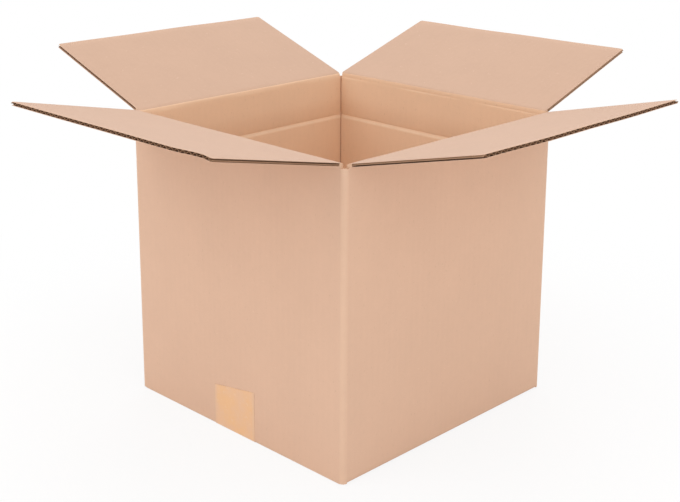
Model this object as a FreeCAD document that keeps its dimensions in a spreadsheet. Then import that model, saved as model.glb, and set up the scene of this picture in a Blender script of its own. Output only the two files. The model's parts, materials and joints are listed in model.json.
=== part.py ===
"""Open shipping carton: one slotted, creased and folded sheet of fluted board, its foot taped shut.

The carton stands on z = 0 with the centre of its foot at the origin and +Z up. The taped wall faces -Y.
The walls, glue tab and bottom flaps are one folded solid. The four top flaps swing on their creases, so
each is a solid of its own. The front and rear flaps fold in first and lie under the left and right ones.
"""
import FreeCAD, Part
import os
from math import cos, pi, sin

import Sketcher

# Driving dimensions, in millimetres and degrees
SIZES = {
    "inside_length": 250,  # between the left and right walls, along X
    "inside_width": 250,  # between the front and rear walls, along Y
    "height": 256,  # from the floor to the top creases
    "board": 3,  # thickness of the fluted board
    "liner": 0.3,  # paper left at a crushed crease, and over a flute
    "crease_gap": 0.3,  # clearance round a flap that swings
    "fold_radius": 1.2,  # outer round of the bottom folds
    "corner_radius": 4,  # outer round of the upright folds
    "slot_width": 9,  # between two neighbouring flaps of the flat blank
    "slot_root": 2,  # how far a slot is cut past the creases
    "meeting_gap": 1,  # between two flaps that meet in the middle
    "layer_gap": 0.3,  # air between the inner and outer bottom flaps
    "heel_land": 0.3,  # flat foot of the front and rear walls
    "flap_corner_radius": 2,  # free corners of the top flaps
    "flute_pitch": 6.5,  # from one flute to the next
    "flute_depth": 10,  # how far in from the free edge the flutes are open
    "flute_base": 5.4,  # width of a flute's hollow at the liner
    "flute_crest": 0.8,  # width of a flute's hollow at its crest
    "flute_margin": 2,  # whole board left beside the outermost flutes
    "tab_width": 32,  # glue tab inside the front wall
    "tab_inset": 14,  # from the foot and the top creases to the tab's ends
    "tab_taper": 6,  # how much shorter the tab's free edge is at each end
    "seam_width": 1.2,  # groove beside the cut edge over the glue tab
    "seam_depth": 0.8,
    "score_drop": 40,  # from the top creases down to the score round the inner walls
    "score_width": 3,
    "score_depth": 0.8,
    "tape_width": 50,
    "tape_thickness": 0.15,
    "tape_clearance": 0.1,  # beside the tape, in its bed under the foot
    "tape_rise_left": 36,  # slanted end of the tape on the front wall
    "tape_rise_right": 43,
    "tape_rise_rear": 40,
    "front_lift": 12,  # how far each open flap points above the horizontal, in degrees
    "right_lift": 13.7,
    "rear_lift": 18.2,
    "left_lift": 20,
}
HALF_X = "(sizes.inside_length / 2 + sizes.board)"
HALF_Y = "(sizes.inside_width / 2 + sizes.board)"
SIDE_PANEL = "(sizes.inside_width + 2 * sizes.board - sizes.slot_width)"
END_PANEL = "(sizes.inside_length + 2 * sizes.board - sizes.slot_width)"
SIDE_CREST = "(sizes.height - sizes.liner - sizes.crease_gap)"
TAPE_BEND = "(sizes.fold_radius / 3)"  # the tape turns tighter than the board that it wraps
OVERCUT = 1  # how far a cutting outline runs past the stock
HAIR = 1e-4  # slack when edges are picked by their place


def write_sizes(doc):
    """Puts the driving dimensions into the document's sheet, one named cell each."""
    sheet = doc.addObject("Spreadsheet::Sheet", "sizes")
    for row, (name, value) in enumerate(SIZES.items(), start=1):
        sheet.set(f"A{row}", name)
        sheet.set(f"B{row}", str(value))
        sheet.setAlias(f"B{row}", name)
    doc.recompute()
    return sheet


def sketch_on(body, role, name, offset="0"):
    """Adds a sketch on one of the body's own planes, moved along its normal by an expression."""
    plane = next(item for item in body.Origin.OriginFeatures if item.Role == role)
    sketch = body.newObject("Sketcher::SketchObject", name)
    sketch.AttachmentSupport = [(plane, "")]
    sketch.MapMode = "FlatFace"
    sketch.setExpression("AttachmentOffset.Base.z", offset)
    return sketch


def outline(sketch, corners):
    """Adds a closed outline, each corner dimensioned from the sketch's origin by two expressions."""
    first = sketch.GeometryCount
    count = len(corners)
    turns = [2 * pi * index / count for index in range(count)]
    spots = [FreeCAD.Vector(cos(turn), sin(turn), 0) for turn in turns]
    for index, spot in enumerate(spots):
        sketch.addGeometry(Part.LineSegment(spot, spots[(index + 1) % count]), False)
    for index in range(count):
        after = first + (index + 1) % count
        sketch.addConstraint(Sketcher.Constraint("Coincident", first + index, 2, after, 1))
    for index, (across, up) in enumerate(corners):
        spot = spots[index]
        for kind, value, expression in (("DistanceX", spot.x, across), ("DistanceY", spot.y, up)):
            dimension = Sketcher.Constraint(kind, -1, 1, first + index, 1, value)
            number = sketch.addConstraint(dimension)
            sketch.setExpression(f"Constraints[{number}]", expression)


def rectangle(sketch, half_across, half_up):
    """Adds a rectangle centred on the sketch's origin."""
    low_across = f"-({half_across})"
    low_up = f"-({half_up})"
    outline(sketch, [(low_across, low_up), (half_across, low_up),
                     (half_across, half_up), (low_across, half_up)])


def extrude(body, kind, name, sketch, length, side="One side", reverse=False):
    """Adds a Pad or a Pocket of a sketch."""
    feature = body.newObject(f"PartDesign::{kind}", name)
    feature.Profile = sketch
    feature.SideType = side
    feature.Reversed = reverse
    feature.setExpression("Length", length)
    return feature


def mirror(body, name, feature, role):
    """Adds the twin of a feature on the other side of one of the body's planes."""
    twin = body.newObject("PartDesign::Mirrored", name)
    twin.Originals = [feature]
    twin.MirrorPlane = (next(item for item in body.Origin.OriginFeatures if item.Role == role), [""])
    body.Tip = twin
    return twin


def round_edges(doc, body, name, chosen, radius):
    """Rounds those edges of the body so far whose bounding boxes pass the test."""
    doc.recompute()
    base = body.Tip
    picked = [f"Edge{number}" for number, edge in enumerate(base.Shape.Edges, start=1)
              if chosen(edge.BoundBox)]
    if not picked:
        raise ValueError(f"{name} finds no edge to round")
    fillet = body.newObject("PartDesign::Fillet", name)
    fillet.Base = (base, picked)
    fillet.setExpression("Radius", radius)


def new_body(doc, label):
    """Starts one sub-part."""
    body = doc.addObject("PartDesign::Body", label)
    body.Label = label
    return body


def fold_corners(doc, body, sheet):
    """Makes the square tube between the slots, with soft upright folds at three corners.

    The fourth corner, front left, is where the sheet's two ends are glued.
    """
    plan = sketch_on(body, "XY_Plane", "wall_plan", "sizes.slot_root")
    rectangle(plan, HALF_X, HALF_Y)
    rectangle(plan, "sizes.inside_length / 2", "sizes.inside_width / 2")
    extrude(body, "Pad", "walls", plan, "sizes.height - 2 * sizes.slot_root")
    half_x = sheet.inside_length / 2 + sheet.board
    half_y = sheet.inside_width / 2 + sheet.board

    def upright_fold(box):
        upright = box.XLength < HAIR and box.YLength < HAIR
        outer = abs(box.XMin) > half_x - HAIR and abs(box.YMin) > half_y - HAIR
        return upright and outer and not (box.XMin < 0 and box.YMin < 0)

    round_edges(doc, body, "upright_folds", upright_fold, "sizes.corner_radius")


def fold_side_panels(body):
    """Makes the left and right walls with the outer bottom flaps, which meet under the tape."""
    profile = sketch_on(body, "XZ_Plane", "side_profile")
    outline(profile, [
        ("sizes.meeting_gap / 2", "0"),
        (HALF_X, "0"),
        (HALF_X, SIDE_CREST),
        ("sizes.inside_length / 2", SIDE_CREST),
        ("sizes.inside_length / 2", "sizes.board"),
        ("sizes.meeting_gap / 2", "sizes.board"),
    ])
    panel = extrude(body, "Pad", "right_panel", profile, SIDE_PANEL, side="Symmetric")
    mirror(body, "left_panel", panel, "YZ_Plane")


def fold_end_panels(body):
    """Makes the front and rear walls with the inner bottom flaps, which step up over the outer ones."""
    profile = sketch_on(body, "YZ_Plane", "end_profile")
    under = "sizes.board + sizes.layer_gap"
    over = "2 * sizes.board + sizes.layer_gap"
    outline(profile, [
        (f"{HALF_Y} - sizes.fold_radius - sizes.heel_land", "0"),
        (HALF_Y, "0"),
        (HALF_Y, "sizes.height"),
        ("sizes.inside_width / 2", "sizes.height"),
        ("sizes.inside_width / 2", over),
        ("sizes.meeting_gap / 2", over),
        ("sizes.meeting_gap / 2", under),
        (f"{HALF_Y} - sizes.slot_width / 2", under),
    ])
    panel = extrude(body, "Pad", "rear_panel", profile, END_PANEL, side="Symmetric")
    mirror(body, "front_panel", panel, "XZ_Plane")


def crush_top_creases(body):
    """Thins the tops of the walls from the inside, where each flap's root comes down as it closes."""
    creases = (
        ("side", "XZ_Plane", "sizes.inside_length / 2", SIDE_PANEL,
         f"{HALF_X} - sizes.liner", SIDE_CREST, "sizes.height - sizes.board - sizes.crease_gap"),
        ("end", "YZ_Plane", "sizes.inside_width / 2", END_PANEL,
         f"{HALF_Y} - sizes.board / 2 - sizes.liner", "sizes.height",
         "sizes.height - 2 * (sizes.board + sizes.crease_gap)"),
    )
    for name, role, inner, width, crest_edge, crest, foot in creases:
        profile = sketch_on(body, role, f"{name}_crease_profile")
        for sign in ("", "-"):
            outline(profile, [
                (f"{sign}({crest_edge})", crest),
                (f"{sign}({inner})", foot),
                (f"{sign}({inner})", crest),
            ])
        run = f"{width} + 2 * sizes.crease_gap"
        extrude(body, "Pocket", f"{name}_crease", profile, run, side="Symmetric")


def round_panel_folds(doc, body, sheet):
    """Rounds the bottom folds, and the top edges that the front and rear flaps roll over."""
    half_x = sheet.inside_length / 2 + sheet.board
    half_y = sheet.inside_width / 2 + sheet.board

    def bottom_fold(box):
        side = box.XLength < HAIR and abs(box.XMin) > half_x - HAIR
        end = box.YLength < HAIR and abs(box.YMin) > half_y - HAIR
        return box.ZMax < HAIR and (side or end)

    def end_crest(box):
        return box.ZMin > sheet.height - HAIR and box.YLength < HAIR and abs(box.YMin) > half_y - HAIR

    round_edges(doc, body, "bottom_folds", bottom_fold, "sizes.fold_radius")
    round_edges(doc, body, "end_crests", end_crest, "sizes.board / 2")


def press_depth_score(body):
    """Presses the horizontal score into the inner faces of the four walls."""
    middle = "sizes.height - sizes.score_drop"
    for name, role, half, run in (("side", "XZ_Plane", "sizes.inside_length / 2", "sizes.inside_width"),
                                  ("end", "YZ_Plane", "sizes.inside_width / 2", "sizes.inside_length")):
        score = sketch_on(body, role, f"{name}_score_profile")
        for sign in ("", "-"):
            outline(score, [
                (f"{sign}({half})", f"{middle} - sizes.score_width / 2"),
                (f"{sign}({half} + sizes.score_depth)", middle),
                (f"{sign}({half})", f"{middle} + sizes.score_width / 2"),
            ])
        extrude(body, "Pocket", f"{name}_score", score, run, side="Symmetric")


def glue_the_joint(body):
    """Adds the glue tab inside the front wall, and the groove where the cut edge ends over its fold.

    The tab is pressed into the score behind it, so no hollow is left there.
    """
    tab = sketch_on(body, "XZ_Plane", "tab_outline", "sizes.inside_width / 2 + sizes.score_depth")
    corner = "-sizes.inside_length / 2"
    edge = "-sizes.inside_length / 2 + sizes.tab_width"
    outline(tab, [
        (corner, "sizes.tab_inset"),
        (edge, "sizes.tab_inset + sizes.tab_taper"),
        (edge, "sizes.height - sizes.tab_inset - sizes.tab_taper"),
        (corner, "sizes.height - sizes.tab_inset"),
    ])
    extrude(body, "Pad", "glue_tab", tab, "sizes.board + sizes.score_depth", reverse=True)
    groove = sketch_on(body, "XY_Plane", "seam_profile")
    outline(groove, [
        (f"-{HALF_X}", "-sizes.inside_width / 2 - sizes.seam_width / 2"),
        (f"-{HALF_X} + sizes.seam_depth", "-sizes.inside_width / 2"),
        (f"-{HALF_X}", "-sizes.inside_width / 2 + sizes.seam_width / 2"),
    ])
    extrude(body, "Pocket", "seam", groove, "sizes.height", reverse=True)


def bed_the_tape(body):
    """Presses the tape's own thickness into the foot, so that the carton stands flat."""
    bed = sketch_on(body, "XY_Plane", "tape_bed_plan")
    rectangle(bed, "sizes.tape_width / 2 + sizes.tape_clearance", HALF_Y)
    extrude(body, "Pocket", "tape_bed", bed, "sizes.tape_thickness", reverse=True)


def make_carton(doc, sheet):
    """Makes the folded sheet: four walls, glue tab and the four bottom flaps."""
    body = new_body(doc, "carton")
    fold_corners(doc, body, sheet)
    fold_side_panels(body)
    fold_end_panels(body)
    crush_top_creases(body)
    round_panel_folds(doc, body, sheet)
    press_depth_score(body)
    glue_the_joint(body)
    bed_the_tape(body)
    return body


def open_flutes(body, width, reach, lift):
    """Opens the flutes along a flap's free edge: hollows under the upper and over the lower liner."""
    ends = sketch_on(body, "XZ_Plane", "flute_ends", reach)
    count = f"floor(({width} - 2 * sizes.flute_margin - sizes.flute_base) / sizes.flute_pitch - 0.5) + 1"
    start = f"-({count} - 1) / 2 * sizes.flute_pitch"
    low = f"{lift} + sizes.liner"
    high = f"{lift} + sizes.board - sizes.liner"
    for middle, base, crest in ((f"{start} - sizes.flute_pitch / 4", low, f"{high} - sizes.liner"),
                                (f"{start} + sizes.flute_pitch / 4", high, f"{low} + sizes.liner")):
        outline(ends, [
            (f"{middle} - sizes.flute_base / 2", base),
            (f"{middle} + sizes.flute_base / 2", base),
            (f"{middle} + sizes.flute_crest / 2", crest),
            (f"{middle} - sizes.flute_crest / 2", crest),
        ])
    pair = extrude(body, "Pocket", "flute_pair", ends, "sizes.flute_depth")
    row = body.newObject("PartDesign::LinearPattern", "flute_row")
    row.Originals = [pair]
    row.Direction = (ends, ["H_Axis"])
    row.setExpression("Occurrences", count)
    row.setExpression("Length", f"({count} - 1) * sizes.flute_pitch")
    body.Tip = row


def make_top_flap(doc, label, yaw, lift_angle, under):
    """Makes one top flap, drawn level and pointing to -Y from its crease, then lifted and turned.

    A flap that folds under its neighbours turns about the middle of the wall's rounded crest, so it lies
    one board lower once it is closed. The others turn about the crest's outer corner.
    """
    if under:
        width, half_depth = END_PANEL, HALF_Y
        inset, lift = "sizes.board / 2", "(sizes.board / 2 + sizes.crease_gap)"
        root, inner_root = "sizes.board / 2 - sizes.crease_gap", "sizes.board / 2 + sizes.crease_gap"
    else:
        width, half_depth = SIDE_PANEL, HALF_X
        inset, lift = "0", "0"
        root, inner_root = "sizes.crease_gap", "sizes.crease_gap + sizes.board - sizes.liner"
    reach = f"({half_depth} - {inset} - sizes.meeting_gap / 2)"
    body = new_body(doc, label)
    profile = sketch_on(body, "YZ_Plane", "section")
    outline(profile, [
        (f"-({root})", lift),
        (f"-{reach}", lift),
        (f"-{reach}", f"{lift} + sizes.board"),
        (f"-({inner_root})", f"{lift} + sizes.board"),
        (f"-({root})", f"{lift} + sizes.liner"),
    ])
    extrude(body, "Pad", "sheet", profile, width, side="Symmetric")

    def free_corner(box):
        upright = box.XLength < HAIR and box.YLength < HAIR
        return upright and box.YMin < body.Tip.Shape.BoundBox.YMin + HAIR

    round_edges(doc, body, "free_corners", free_corner, "sizes.flap_corner_radius")
    open_flutes(body, width, reach, lift)
    place = f"placement(vector(0; -({half_depth} - {inset}); sizes.height - {inset}); "
    place += f"rotation(vector(1; 0; 0); -sizes.{lift_angle}))"
    body.setExpression("Placement", f"placement(vector(0; 0; 0); rotation(vector(0; 0; 1); {yaw})) * {place}")
    return body


def make_bottom_tape(doc, sheet):
    """Makes the strip of tape that closes the foot and turns up the front and rear walls."""
    body = new_body(doc, "bottom_tape")
    profile = sketch_on(body, "YZ_Plane", "strip_profile")
    outer = f"({HALF_Y} + sizes.tape_thickness)"
    front_top = "sizes.tape_rise_left + sizes.tape_rise_right"
    outline(profile, [
        (f"-{outer}", "0"),
        (outer, "0"),
        (outer, "sizes.tape_rise_rear"),
        (HALF_Y, "sizes.tape_rise_rear"),
        (HALF_Y, "sizes.tape_thickness"),
        (f"-{HALF_Y}", "sizes.tape_thickness"),
        (f"-{HALF_Y}", front_top),
        (f"-{outer}", front_top),
    ])
    extrude(body, "Pad", "strip", profile, "sizes.tape_width", side="Symmetric")
    half_y = sheet.inside_width / 2 + sheet.board

    def inner_bend(box):
        across = box.YLength < HAIR and box.ZLength < HAIR
        return across and abs(abs(box.YMin) - half_y) < HAIR and abs(box.ZMin - sheet.tape_thickness) < HAIR

    def outer_bend(box):
        return box.YLength < HAIR and box.ZMax < HAIR

    round_edges(doc, body, "inner_bends", inner_bend, TAPE_BEND)
    round_edges(doc, body, "outer_bends", outer_bend, f"{TAPE_BEND} + sizes.tape_thickness")
    waste = sketch_on(body, "XZ_Plane", "waste_outline")
    outline(waste, [
        ("-sizes.tape_width / 2", "sizes.tape_rise_left"),
        ("sizes.tape_width / 2", "sizes.tape_rise_right"),
        ("sizes.tape_width / 2", f"{front_top} + {OVERCUT}"),
        ("-sizes.tape_width / 2", f"{front_top} + {OVERCUT}"),
    ])
    extrude(body, "Pocket", "slanted_end", waste, f"{outer} + {OVERCUT}", reverse=True)
    return body


def check(doc, bodies):
    """Stops unless every feature was made and each sub-part is one sound solid."""
    for item in doc.Objects:
        if "Invalid" in item.State or "Error" in item.State:
            raise ValueError(f"{item.Name} failed: {item.State}")
    for body in bodies:
        shape = body.Shape
        if shape.isNull() or not shape.isValid() or len(shape.Solids) != 1:
            raise ValueError(f"{body.Label} is not one sound solid")
        print(f"{body.Label}: {shape.Volume:.1f} mm3, {len(shape.Faces)} faces")


def main():
    """Builds the document, checks it and writes one file for each sub-part."""
    doc = FreeCAD.newDocument("carton")
    sheet = write_sizes(doc)
    bodies = [
        make_carton(doc, sheet),
        make_top_flap(doc, "top_flap_front", 0, "front_lift", under=True),
        make_top_flap(doc, "top_flap_right", 90, "right_lift", under=False),
        make_top_flap(doc, "top_flap_rear", 180, "rear_lift", under=True),
        make_top_flap(doc, "top_flap_left", 270, "left_lift", under=False),
        make_bottom_tape(doc, sheet),
    ]
    doc.recompute()
    check(doc, bodies)
    os.makedirs("parts", exist_ok=True)
    for body in bodies:
        body.Shape.exportStep(f"parts/{body.Label}.step")


main()
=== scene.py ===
"""Open shipping carton: the looks of its folded board, flutes, creases and tape."""
import json
import logging
import math
from dataclasses import dataclass, field
from enum import Enum, IntEnum
from typing import Callable, Iterable

import bmesh
import bpy
from bmesh.types import BMesh, BMFace, BMVert
from bpy.types import Material, Node, NodeSocket, NodeTree, Object
from mathutils import Matrix, Vector


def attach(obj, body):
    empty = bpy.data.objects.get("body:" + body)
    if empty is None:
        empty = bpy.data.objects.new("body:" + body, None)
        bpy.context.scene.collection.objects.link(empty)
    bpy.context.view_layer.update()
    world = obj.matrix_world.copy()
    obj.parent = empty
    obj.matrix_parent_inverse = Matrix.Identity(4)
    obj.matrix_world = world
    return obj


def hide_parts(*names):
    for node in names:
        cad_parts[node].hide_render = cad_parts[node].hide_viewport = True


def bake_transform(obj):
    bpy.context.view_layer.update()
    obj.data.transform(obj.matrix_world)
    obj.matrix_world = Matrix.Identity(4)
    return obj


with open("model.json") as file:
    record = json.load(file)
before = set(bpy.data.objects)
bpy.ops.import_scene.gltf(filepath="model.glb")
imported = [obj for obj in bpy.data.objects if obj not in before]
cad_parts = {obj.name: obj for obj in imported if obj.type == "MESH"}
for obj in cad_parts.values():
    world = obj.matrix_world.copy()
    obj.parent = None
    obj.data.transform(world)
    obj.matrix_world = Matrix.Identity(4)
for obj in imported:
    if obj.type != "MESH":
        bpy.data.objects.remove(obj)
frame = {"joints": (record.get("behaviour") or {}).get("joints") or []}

LOG = logging.getLogger("carton")
MM = 0.001
HAIR = 1e-6
FACING = 0.9
QUARTER = math.pi / 2
UV_NAME = "board"
# Vertex layer of paler colour: scuffs on the flaps' free edges and the bottom folds, and a painted highlight
# on the upright folds, the rear beads and the score's lower lip.
WEAR_AND_HIGHLIGHT_LAYER = "handling"
Pair = tuple[float, float]
Triple = tuple[float, float, float]


@dataclass(frozen=True)
class Board:
    """Single-wall fluted board, in metres."""

    thickness: float = 3.0 * MM
    liner: float = 0.28 * MM
    medium: float = 0.22 * MM
    pitch: float = 6.5 * MM


@dataclass(frozen=True)
class CartonPlan:
    """Sizes of the folded sheet that all its sections share, in metres."""

    board: Board = Board()
    half_x: float = 128 * MM
    half_y: float = 128 * MM
    height: float = 256 * MM
    slot_width: float = 9 * MM
    meeting_gap: float = 1 * MM
    layer_gap: float = 0.3 * MM
    corner_radius: float = 4 * MM
    joint_radius: float = 3.2 * MM
    crease_reach: float = 3.2 * MM
    crease_drop: float = 4.5 * MM
    score_drop: float = 40 * MM
    score_width: float = 4.8 * MM
    score_depth: float = 0.9 * MM
    foot_lift: float = 0.15 * MM
    foot_zone: float = 8 * MM
    knife_zone: float = 0.1 * MM
    bow: float = 0.5 * MM
    bow_foot: Pair = (0.02, 0.45)
    bow_rim: Pair = (1.0, 0.8)
    bow_skin: Pair = (0.8, 0.97)

    @property
    def panel_half_x(self) -> float:
        """Half the width of a panel that runs along X, between its slots."""
        return self.half_x - self.slot_width / 2

    @property
    def panel_half_y(self) -> float:
        """Half the width of a panel that runs along Y, between its slots."""
        return self.half_y - self.slot_width / 2

    @property
    def score_level(self) -> float:
        """The height of the score's middle."""
        return self.height - self.score_drop

    @property
    def lip_level(self) -> float:
        """The height of the score's lower lip."""
        return self.score_level - self.score_width / 2

    def half(self, is_end: bool) -> float:
        """Gives the distance from the middle to an end wall's or a side wall's outer face."""
        return self.half_y if is_end else self.half_x

    def outside(self, point: Vector, in_x: float, in_y: float) -> bool:
        """True beyond both of two lines, which lie this far in from the outer faces."""
        return abs(point.x) > self.half_x - in_x and abs(point.y) > self.half_y - in_y

    def within(self, point: Vector, inset: float) -> bool:
        """True inside the walls, by more than this distance from their outer faces."""
        return abs(point.x) < self.half_x - inset and abs(point.y) < self.half_y - inset

    def settle(self, point: Vector) -> Vector:
        """Draws the walls in a little between their corners, as a carton's are that has stood open.

        Args:
            point: A place on the flat-walled carton.

        Returns:
            The place on the settled one.
        """
        level = point.z / self.height
        share_x = point.x / self.half_x
        share_y = point.y / self.half_y
        pull = self.bow * smooth(*self.bow_foot, level) * smooth(*self.bow_rim, level)
        pull_x = pull * max(0.0, math.cos(share_y * QUARTER)) * smooth(*self.bow_skin, abs(share_x))
        pull_y = pull * max(0.0, math.cos(share_x * QUARTER)) * smooth(*self.bow_skin, abs(share_y))
        return point - Vector((math.copysign(pull_x, point.x), math.copysign(pull_y, point.y), 0))


class Side(Enum):
    """The four walls, each with its yaw from the front wall, in quarter turns."""

    FRONT = 0
    RIGHT = 1
    REAR = 2
    LEFT = 3

    @property
    def label(self) -> str:
        """The wall's plain name."""
        return self.name.lower()

    @property
    def turn(self) -> Matrix:
        """The rotation from the front wall to this one."""
        return Matrix.Rotation(self.value * QUARTER, 4, "Z")

    @property
    def is_end(self) -> bool:
        """True for the front and rear walls, whose flaps fold in first."""
        return self in (Side.FRONT, Side.REAR)


def smooth(low: float, high: float, value: float) -> float:
    """Goes smoothly from 0 at low to 1 at high, which may be the smaller number.

    Args:
        low: Where the change starts.
        high: Where it ends.
        value: The place asked for.

    Returns:
        A number from 0 to 1.
    """
    share = min(1.0, max(0.0, (value - low) / (high - low)))
    return share * share * (3 - 2 * share)


@dataclass(frozen=True)
class Grain:
    """One noise of a material, with how it is drawn out along the axes."""

    scale: float
    detail: float
    rough: float
    stretch: Triple | None = None


@dataclass(frozen=True)
class Ripple:
    """One wave of the board's unevenness: its height, its rate and how the seed shifts it."""

    height: float
    rate: float
    shift: float


def ripple(waves: tuple[Ripple, ...], place: float, seed: float) -> float:
    """Adds up waves at a place.

    Args:
        waves: The waves.
        place: The place along them.
        seed: Tells one flap from another.

    Returns:
        The height.
    """
    return sum(wave.height * math.sin(wave.rate * place + wave.shift * seed) for wave in waves)


def moved_verts(made: dict) -> list[BMVert]:
    """Returns the vertices among an operator's new geometry."""
    return [item for item in made["geom"] if isinstance(item, BMVert)]


def moved_faces(made: dict) -> list[BMFace]:
    """Returns the faces among an operator's new geometry."""
    return [item for item in made["geom"] if isinstance(item, BMFace)]


def extrude_on(bm: BMesh, faces: list[BMFace], keep: bool = False) \
        -> tuple[list[BMFace], list[BMVert]]:
    """Extrudes faces in place and clears the old ones, which would be left inside the wall.

    Args:
        bm: The mesh, changed in place.
        faces: The faces to extrude.
        keep: True leaves the old faces as the wall's other end.

    Returns:
        The new end faces and their vertices, still where the old ones are.
    """
    made = bmesh.ops.extrude_face_region(bm, geom=faces, use_keep_orig=keep)
    if not keep:
        bmesh.ops.delete(bm, geom=[face for face in faces if face.is_valid], context="FACES_ONLY")
    return moved_faces(made), moved_verts(made)


def thicken(bm: BMesh, rise: Vector) -> None:
    """Gives an open sheet a thickness along one direction.

    Args:
        bm: The sheet, changed in place.
        rise: The thickness as a vector.
    """
    made = bmesh.ops.extrude_face_region(bm, geom=bm.faces[:], use_keep_orig=True)
    bmesh.ops.translate(bm, verts=moved_verts(made), vec=rise)
    bmesh.ops.recalc_face_normals(bm, faces=bm.faces)


def mark_handling(bm: BMesh, amount: Callable[[BMVert], float]) -> None:
    """Writes how pale each vertex is painted, from 0 to 1, for scuffs and for painted highlights.

    Args:
        bm: The mesh, changed in place.
        amount: Gives the number for a vertex.
    """
    layer = bm.verts.layers.float.new(WEAR_AND_HIGHLIGHT_LAYER)
    for vert in bm.verts:
        vert[layer] = amount(vert)


def lay_board_uv(bm: BMesh, across: Callable[[BMFace, Vector], Pair]) -> None:
    """Writes each corner's place on the flat sheet, in metres, across and along the flutes.

    Args:
        bm: The mesh, changed in place.
        across: Gives the two places for a face and a point of it.
    """
    layer = bm.loops.layers.uv.verify()
    for face in bm.faces:
        for loop in face.loops:
            loop[layer].uv = across(face, loop.vert.co)


def make_piece(bm: BMesh, name: str, materials: Iterable[Material],
               crisp: float = 35.0) -> Object:
    """Turns a finished bmesh into a piece whose place is in its mesh.

    Args:
        bm: The mesh, freed here.
        name: The piece's name.
        materials: Its materials, in slot order.
        crisp: Edges that turn by more degrees than this stay sharp.

    Returns:
        The new object.
    """
    bm.normal_update()
    mesh = bpy.data.meshes.new(name)
    bm.to_mesh(mesh)
    bm.free()
    mesh.shade_smooth()
    mesh.set_sharp_from_angle(angle=math.radians(crisp))
    for material in materials:
        mesh.materials.append(material)
    if mesh.uv_layers:
        mesh.uv_layers[0].name = UV_NAME
    LOG.info("%s: %d faces", name, len(mesh.polygons))
    return link_new(name, mesh)


def link_new(name: str, data: bpy.types.ID) -> Object:
    """Adds an object for a datablock to the scene.

    Args:
        name: The object's name.
        data: Its mesh, camera or lamp.

    Returns:
        The object.
    """
    made = bpy.data.objects.new(name, data)
    bpy.context.scene.collection.objects.link(made)
    return made


class NodeSketch:
    """A short hand for wiring shader nodes."""

    def __init__(self, tree: NodeTree) -> None:
        """Starts on one node tree."""
        self.tree = tree

    def add(self, kind: str, **settings: object) -> Node:
        """Adds a node.

        Args:
            kind: The node's type name.
            settings: Its properties by name, and its inputs by name with spaces as underscores.

        Returns:
            The node.
        """
        node = self.tree.nodes.new(kind)
        for key, value in settings.items():
            if hasattr(node, key):
                setattr(node, key, value)
            else:
                self.feed(node, key.replace("_", " "), value)
        return node

    def feed(self, node: Node, socket: str | int, value: object) -> None:
        """Sets an input, or links it if the value is another node's output.

        Args:
            node: The node that is fed.
            socket: The input's name or number.
            value: A plain value or an output socket.
        """
        if isinstance(value, NodeSocket):
            self.tree.links.new(value, node.inputs[socket])
        else:
            node.inputs[socket].default_value = value

    def feed_all(self, node: Node, values: dict[str | int, object]) -> None:
        """Feeds several inputs of a node, by name or number."""
        for socket, value in values.items():
            self.feed(node, socket, value)

    def wire(self, kind: str, values: dict[str | int, object], output: str | int = 0, **settings: object) \
            -> NodeSocket:
        """Adds a node, feeds it and gives one of its outputs.

        Args:
            kind: The node's type name.
            values: What each input is fed with, by name or number.
            output: The name or number of the output.
            settings: The node's properties by name.

        Returns:
            The output.
        """
        node = self.add(kind, **settings)
        self.feed_all(node, values)
        return node.outputs[output]

    def math(self, operation: str, first: object, second: object = 0.0) -> NodeSocket:
        """Adds a Math node."""
        return self.wire("ShaderNodeMath", {0: first, 1: second}, operation=operation)

    def times(self, first: object, second: object) -> NodeSocket:
        """Multiplies two values."""
        return self.math("MULTIPLY", first, second)

    def place(self) -> NodeSocket:
        """Gives the place in the piece's own frame, which is the carton's."""
        return self.add("ShaderNodeTexCoord").outputs["Object"]

    def flat(self) -> NodeSocket:
        """Gives the place on the flat sheet."""
        return self.add("ShaderNodeUVMap", uv_map=UV_NAME).outputs[0]

    def noise(self, vector: object, grain: Grain) -> NodeSocket:
        """Adds a Noise Texture, after a Mapping node where it is stretched.

        Args:
            vector: Where it is looked up.
            grain: Its settings.

        Returns:
            Its value, from 0 to 1.
        """
        if grain.stretch:
            vector = self.wire("ShaderNodeMapping", {"Vector": vector, "Scale": grain.stretch})
        values = {"Vector": vector, "Scale": grain.scale, "Detail": grain.detail, "Roughness": grain.rough}
        return self.wire("ShaderNodeTexNoise", values)

    def span(self, value: object, low: float, high: float, to_low: float = 0.0, to_high: float = 1.0,
             soft: bool = True) -> NodeSocket:
        """Maps the range from low to high to another one, eased in and out where it is soft."""
        return self.wire("ShaderNodeMapRange", {0: value, 1: low, 2: high, 3: to_low, 4: to_high},
                         interpolation_type="SMOOTHSTEP" if soft else "LINEAR")

    def mix(self, share: object, first: object, second: object) -> NodeSocket:
        """Mixes two colours."""
        return self.wire("ShaderNodeMix", {0: share, 6: first, 7: second}, 2, data_type="RGBA",
                         blend_type="MIX")

    def bump(self, shader: Node, strength: float, distance: float, height: NodeSocket) -> None:
        """Adds a Bump node and feeds a shader's normal with it."""
        values = {"Strength": strength, "Distance": distance, "Height": height}
        self.feed(shader, "Normal", self.wire("ShaderNodeBump", values))


def start_material(name: str) -> tuple[Material, NodeSketch, Node]:
    """Starts a material.

    Args:
        name: The material's name.

    Returns:
        The material, the sketch on its tree, and its Principled shader.
    """
    material = bpy.data.materials.new(name)
    material.use_nodes = True
    return material, NodeSketch(material.node_tree), material.node_tree.nodes["Principled BSDF"]


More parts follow.
